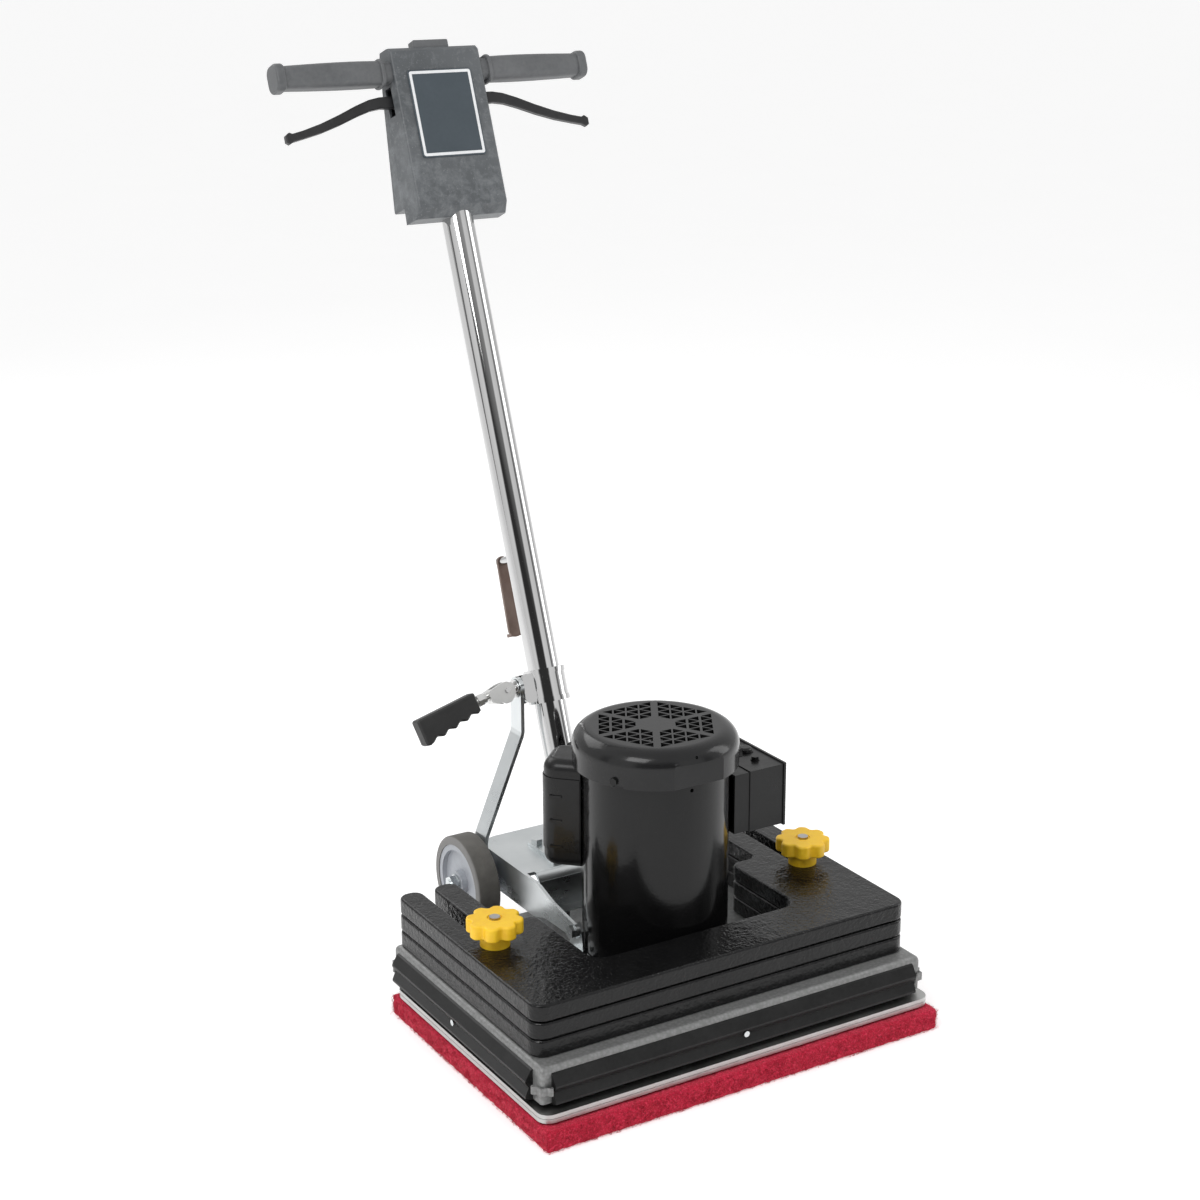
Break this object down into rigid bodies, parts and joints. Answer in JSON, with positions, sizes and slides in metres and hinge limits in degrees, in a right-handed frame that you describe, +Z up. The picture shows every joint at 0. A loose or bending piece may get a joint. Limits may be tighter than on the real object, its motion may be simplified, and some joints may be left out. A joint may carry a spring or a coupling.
{
  "type": "orbital floor machine",
  "caption": "Walk-behind orbital floor scrubber: rectangular pad and weighted deck, upright motor, transport wheels and a tilting tube handle with grips and trigger levers.",
  "frame": {"origin": "on the floor under the motor's axis, in the pad's lower face", "axes": "+Z up, -Y towards the machine's front, +X to the operator's left when standing behind it facing the front"},
  "size_m": [0.51, 0.7108, 1.0645],
  "materials": {
    "pad_red": "coarse non-woven, matt",
    "driver_aluminium": "satin",
    "deck_grey": "grey hammertone",
    "bumper_black": "satin black",
    "weight_black": "wrinkled gloss black coat",
    "motor_black": "gloss black",
    "box_black": "satin black",
    "zinc": "bright zinc plate",
    "steel": "machined steel",
    "core_steel": "laminated steel and copper",
    "knob_yellow": "textured yellow",
    "tyre_grey": "matt warm grey",
    "hub_grey": "light blue-grey",
    "chrome": "bright chrome",
    "grip_black": "matt black",
    "box_slate": "mottled dark slate grey",
    "panel_blue": "plain dark blue-grey panel with a white line",
    "handgrip_grey": "matt dark grey",
    "black_plastic": "black",
    "button_grey": "dark grey"
  },
  "bodies": {
    "deck": {"deck_housing": "deck_grey", "bumpers_front_rear": "bumper_black", "bumpers_sides": "bumper_black", "bumper_clips": "zinc", "bumper_rivets": "zinc", "isolators": "grip_black", "weight_studs": "steel", "motor_shell": "motor_black", "end_bell_lower": "motor_black", "end_bell_upper": "motor_black", "fan_cover": "motor_black", "motor_screws": "steel", "stator": "core_steel", "motor_bearings": "steel", "capacitor_cover": "box_black", "capacitor": "box_black", "conduit_box": "box_black", "conduit_cover": "box_black", "conduit_fittings": "zinc", "motor_bolts": "steel", "pivot_brackets": "zinc", "pivot_bolts": "zinc"},
    "rotor": {"rotor_shaft": "steel", "rotor_core": "core_steel", "cooling_fan": "black_plastic", "eccentric_hub": "steel"},
    "pad_driver": {"driver_bearing": "steel", "driver_plate": "driver_aluminium", "pad_plate": "driver_aluminium", "grip_face": "bumper_black", "scrub_pad": "pad_red"},
    "weight_lower": {"weight_lower": "weight_black"},
    "weight_middle": {"weight_middle": "weight_black"},
    "weight_upper": {"weight_upper": "weight_black"},
    "knob_left": {"knob_left": "knob_yellow"},
    "knob_right": {"knob_right": "knob_yellow"},
    "carriage": {"carriage_frame": "zinc", "wheel_axle": "zinc", "axle_nuts": "zinc", "handle_yoke": "zinc", "carriage_bolts": "zinc"},
    "wheel_left": {"hub_left": "hub_grey", "tyre_left": "tyre_grey"},
    "wheel_right": {"hub_right": "hub_grey", "tyre_right": "tyre_grey"},
    "handle": {"handle_tube": "chrome", "control_box_front": "box_slate", "control_box_rear": "box_slate", "label_panel": "panel_blue", "hand_grips": "handgrip_grey", "trigger_switch": "black_plastic", "cord_gland": "grip_black"},
    "collar": {"collar": "chrome"},
    "strut": {"strut": "zinc"},
    "lock_lever": {"lock_lever": "chrome", "lever_grip": "grip_black"},
    "trigger_left": {"trigger_left": "black_plastic"},
    "trigger_right": {"trigger_right": "black_plastic"},
    "lockout_button": {"lockout_button": "button_grey"},
    "cord_hook": {"cord_hook": "zinc"}
  },
  "joints": [
    {"name": "rotor_spin", "type": "hinge", "parent": "deck", "child": "rotor", "pos_m": [0, 0, 0.1], "axis": [0, 0, 1], "continuous": true},
    {"name": "driver_orbit", "type": "hinge", "parent": "rotor", "child": "pad_driver", "pos_m": [0.0032, 0, 0.047], "axis": [0, 0, 1], "continuous": true},
    {"name": "weight_lower_slide", "type": "slide", "parent": "deck", "child": "weight_lower", "axis": [0, -1, 0], "range_m": [0, 0.18]},
    {"name": "weight_middle_slide", "type": "slide", "parent": "deck", "child": "weight_middle", "axis": [0, -1, 0], "range_m": [0, 0.18]},
    {"name": "weight_upper_slide", "type": "slide", "parent": "deck", "child": "weight_upper", "axis": [0, -1, 0], "range_m": [0, 0.18]},
    {"name": "knob_left_turn", "type": "hinge", "parent": "deck", "child": "knob_left", "pos_m": [-0.205, 0, 0.158], "axis": [0, 0, 1], "continuous": true},
    {"name": "knob_right_turn", "type": "hinge", "parent": "deck", "child": "knob_right", "pos_m": [0.205, 0, 0.158], "axis": [0, 0, 1], "continuous": true},
    {"name": "carriage_float", "type": "hinge", "parent": "deck", "child": "carriage", "pos_m": [0, 0.031, 0.115], "axis": [1, 0, 0], "range_deg": [0, 6]},
    {"name": "wheel_left_spin", "type": "hinge", "parent": "carriage", "child": "wheel_left", "pos_m": [-0.1105, 0.242, 0.0997], "axis": [1, 0, 0], "continuous": true},
    {"name": "wheel_right_spin", "type": "hinge", "parent": "carriage", "child": "wheel_right", "pos_m": [0.1105, 0.242, 0.0997], "axis": [1, 0, 0], "continuous": true},
    {"name": "handle_tilt", "type": "hinge", "parent": "carriage", "child": "handle", "pos_m": [0, 0.1772, 0.1634], "axis": [1, 0, 0], "range_deg": [-24, 10]},
    {"name": "collar_slide", "type": "slide", "parent": "handle", "child": "collar", "axis": [0, 0.3564, 0.9343], "range_m": [-0.0135, 0.032]},
    {"name": "strut_swing", "type": "hinge", "parent": "collar", "child": "strut", "pos_m": [-0.0395, 0.24107, 0.33083], "axis": [1, 0, 0], "range_deg": [-1.5, 3]},
    {"name": "lock_lever_turn", "type": "hinge", "parent": "collar", "child": "lock_lever", "pos_m": [-0.057, 0.24107, 0.33083], "axis": [0, 0.9343, -0.3564], "range_deg": [0, 60]},
    {"name": "trigger_left_pull", "type": "hinge", "parent": "handle", "child": "trigger_left", "pos_m": [-0.052, 0.48946, 0.9932], "axis": [0, 0.9343, -0.3564], "range_deg": [0, 14], "stiffness_Nm_per_rad": 0.8, "springref_deg": -8.59},
    {"name": "trigger_right_pull", "type": "hinge", "parent": "handle", "child": "trigger_right", "pos_m": [0.052, 0.48946, 0.9932], "axis": [0, -0.9343, 0.3564], "range_deg": [0, 14], "stiffness_Nm_per_rad": 0.8, "springref_deg": -8.59},
    {"name": "lockout_press", "type": "slide", "parent": "handle", "child": "lockout_button", "axis": [0, -0.3564, -0.9343], "range_m": [0, 0.006], "stiffness_N_per_m": 400, "springref_m": -0.002},
    {"name": "cord_hook_turn", "type": "hinge", "parent": "handle", "child": "cord_hook", "pos_m": [0, 0.34598, 0.45435], "axis": [0, -0.9343, 0.3564], "range_deg": [-180, 180]}
  ],
  "couplings": [
    {"joint": "driver_orbit", "follows": "rotor_spin", "ratio": -1},
    {"joint": "collar_slide", "follows": "handle_tilt", "m_per_rad": -0.075},
    {"joint": "strut_swing", "follows": "handle_tilt", "ratio": -0.12}
  ]
}
